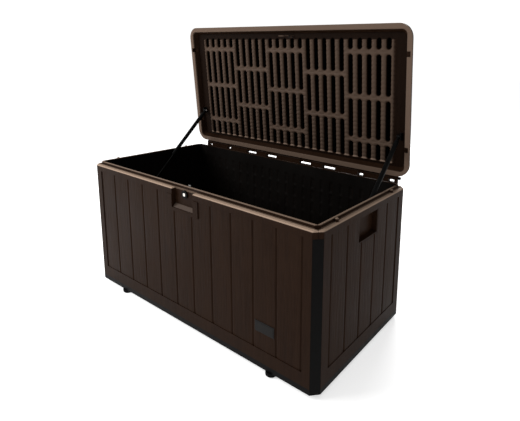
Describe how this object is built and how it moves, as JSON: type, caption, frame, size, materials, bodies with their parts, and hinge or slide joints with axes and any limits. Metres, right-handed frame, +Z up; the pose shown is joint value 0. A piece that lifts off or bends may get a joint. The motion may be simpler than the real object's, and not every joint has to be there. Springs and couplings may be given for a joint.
{
  "type": "deck storage box",
  "caption": "Long resin deck box of grooved plank-look panels with cut corners, a ribbed lid held open on gas struts, a key lock and side hand pockets.",
  "frame": {"origin": "centre of the box's footprint on the ground; the open lid reaches behind it", "axes": "+X along the box to the viewer's right when facing the front, +Y from front to back, +Z up"},
  "size_m": [1.235, 0.6274, 1.1568],
  "materials": {
    "panel_plastic": "dark brown moulded wood grain, satin",
    "lid_plastic": "dark brown moulded wood grain, satin",
    "black_plastic": "black, matte",
    "foot_rubber": "black, matte",
    "screw_steel": "zinc plated",
    "rod_steel": "plain steel",
    "lock_metal": "plated, polished",
    "badge_plastic": "dark brown, satin",
    "strut_paint": "black satin enamel",
    "nitrided_rod": "black nitrided, polished"
  },
  "bodies": {
    "box": {"base_panel": "panel_plastic", "front_panel": "panel_plastic", "back_panel": "panel_plastic", "left_panel": "panel_plastic", "right_panel": "panel_plastic", "corner_post_front_left": "black_plastic", "corner_post_front_right": "black_plastic", "corner_post_back_left": "black_plastic", "corner_post_back_right": "black_plastic", "foot_front_left": "foot_rubber", "foot_front_right": "foot_rubber", "foot_back_left": "foot_rubber", "foot_back_right": "foot_rubber", "base_screws": "screw_steel", "wall_bracket_screws": "screw_steel", "lock_body": "lock_metal", "lock_nut": "lock_metal", "badge_plate": "badge_plastic", "lid_locating_pegs": "black_plastic", "hinge_rod_caps": "black_plastic", "hinge_rod_left": "rod_steel", "hinge_rod_right": "rod_steel", "left_strut_wall_bracket": "strut_paint", "right_strut_wall_bracket": "strut_paint"},
    "lock": {"lock_plug": "lock_metal", "lock_cam": "screw_steel", "cam_screw": "screw_steel"},
    "lid": {"lid_panel": "lid_plastic", "lock_strike": "strut_paint", "strike_screws": "screw_steel", "left_strut_lid_bracket": "strut_paint", "right_strut_lid_bracket": "strut_paint"},
    "left_tube": {"left_strut_tube": "strut_paint", "left_strut_upper_socket": "black_plastic", "left_strut_seal": "black_plastic"},
    "left_rod": {"left_strut_rod": "nitrided_rod", "left_strut_lower_socket": "black_plastic"},
    "right_tube": {"right_strut_tube": "strut_paint", "right_strut_upper_socket": "black_plastic", "right_strut_seal": "black_plastic"},
    "right_rod": {"right_strut_rod": "nitrided_rod", "right_strut_lower_socket": "black_plastic"}
  },
  "joints": [
    {"name": "lid_hinge", "type": "hinge", "parent": "box", "child": "lid", "pos_m": [0, 0.305, 0.564], "axis": [1, 0, 0], "range_deg": [0, 85.5]},
    {"name": "lock_turn", "type": "hinge", "parent": "box", "child": "lock", "pos_m": [0, -0.283, 0.526], "axis": [0, 1, 0], "range_deg": [0, 90]},
    {"name": "left_strut_swing", "type": "hinge", "parent": "lid", "child": "left_tube", "pos_m": [-0.566, 0.28522, 0.73498], "axis": [1, 0, 0], "range_deg": [-88.66, 0]},
    {"name": "left_strut_slide", "type": "slide", "parent": "left_tube", "child": "left_rod", "axis": [0, 0.7073, 0.7069], "range_m": [0, 0.2327]},
    {"name": "right_strut_swing", "type": "hinge", "parent": "lid", "child": "right_tube", "pos_m": [0.566, 0.28522, 0.73498], "axis": [1, 0, 0], "range_deg": [-88.66, 0]},
    {"name": "right_strut_slide", "type": "slide", "parent": "right_tube", "child": "right_rod", "axis": [0, 0.7073, 0.7069], "range_m": [0, 0.2327]}
  ],
  "couplings": [
    {"joint": "left_strut_swing", "follows": "lid_hinge", "ratio": -1.0364},
    {"joint": "left_strut_slide", "follows": "lid_hinge", "m_per_rad": 0.15581},
    {"joint": "right_strut_swing", "follows": "lid_hinge", "ratio": -1.0364},
    {"joint": "right_strut_slide", "follows": "lid_hinge", "m_per_rad": 0.15581}
  ]
}
